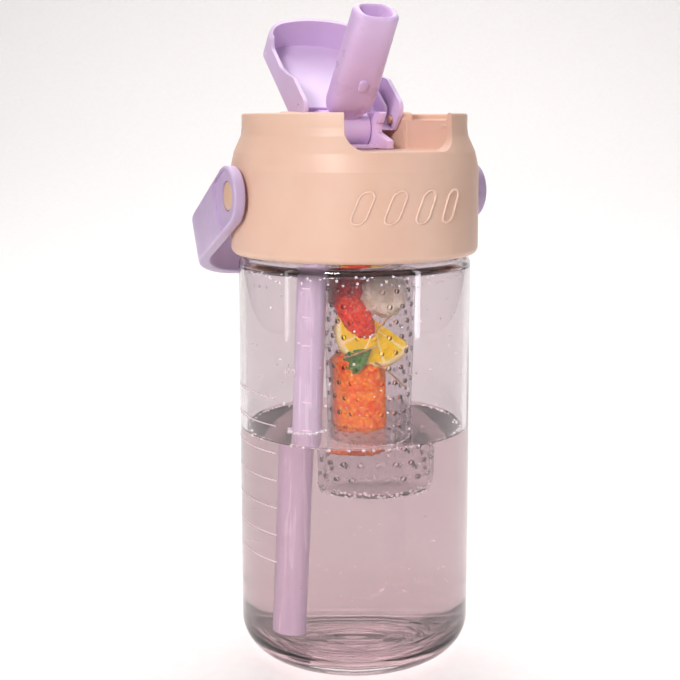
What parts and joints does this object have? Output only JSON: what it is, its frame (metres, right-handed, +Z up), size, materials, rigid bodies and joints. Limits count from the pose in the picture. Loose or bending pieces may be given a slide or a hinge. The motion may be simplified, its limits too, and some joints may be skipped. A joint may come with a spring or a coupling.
{
  "type": "tea infuser bottle",
  "caption": "Clear drinking bottle with a peach screw lid, lilac flip cover, folding spout, bail handle, straw and a perforated infuser cup hung inside.",
  "frame": {"origin": "centre of the flat foot, on the surface that the bottle stands on", "axes": "+Z up along the bottle, -Y to the front where the lid's channel opens, +X to the right of someone facing the front"},
  "size_m": [0.099, 0.0996, 0.234],
  "materials": {
    "clear_body": "clear, smooth moulded copolyester",
    "peach_lid": "satin moulded polypropylene",
    "inner_plastic": "satin moulded polypropylene",
    "silicone": "matt soft silicone",
    "lilac_seat": "satin moulded polypropylene",
    "straw_plastic": "slightly see-through extruded tube",
    "clear_cup": "clear, smooth moulded copolyester",
    "lilac_cover": "satin moulded polypropylene",
    "lilac_spout": "satin, slightly soft moulded plastic",
    "lilac_handle": "satin moulded polypropylene",
    "peach_pin": "satin moulded polypropylene"
  },
  "bodies": {
    "bottle": {"bottle_body": "clear_body"},
    "lid": {"lid_shell": "peach_lid", "lid_liner": "inner_plastic", "lid_seal": "silicone", "spout_seat": "lilac_seat", "spout_seal": "silicone", "flow_duct": "inner_plastic", "straw_socket": "inner_plastic", "straw": "straw_plastic", "infuser_collar": "inner_plastic", "cover_pin_left": "lilac_seat", "cover_pin_right": "lilac_seat", "handle_pin_left": "peach_pin", "handle_pin_right": "peach_pin"},
    "cover": {"cover": "lilac_cover"},
    "spout": {"spout": "lilac_spout"},
    "handle": {"handle": "lilac_handle"},
    "infuser": {"infuser_cup": "clear_cup"}
  },
  "joints": [
    {"name": "lid_lift", "type": "slide", "parent": "bottle", "child": "lid", "axis": [0, 0, 1], "range_m": [0, 0.165]},
    {"name": "cover_hinge", "type": "hinge", "parent": "lid", "child": "cover", "pos_m": [0, 0.00695, 0.19415], "axis": [1, 0, 0], "range_deg": [0, 140]},
    {"name": "spout_hinge", "type": "hinge", "parent": "lid", "child": "spout", "pos_m": [0, 0.0123, 0.1909], "axis": [1, 0, 0], "range_deg": [0, 54.5]},
    {"name": "handle_swing", "type": "hinge", "parent": "lid", "child": "handle", "pos_m": [0, 0, 0.168], "axis": [1, 0, 0], "range_deg": [0, 66]},
    {"name": "infuser_pull", "type": "slide", "parent": "lid", "child": "infuser", "axis": [0, 0, -1], "range_m": [0, 0.045]}
  ],
  "couplings": [
    {"joint": "spout_hinge", "follows": "cover_hinge", "ratio": 0.389}
  ]
}
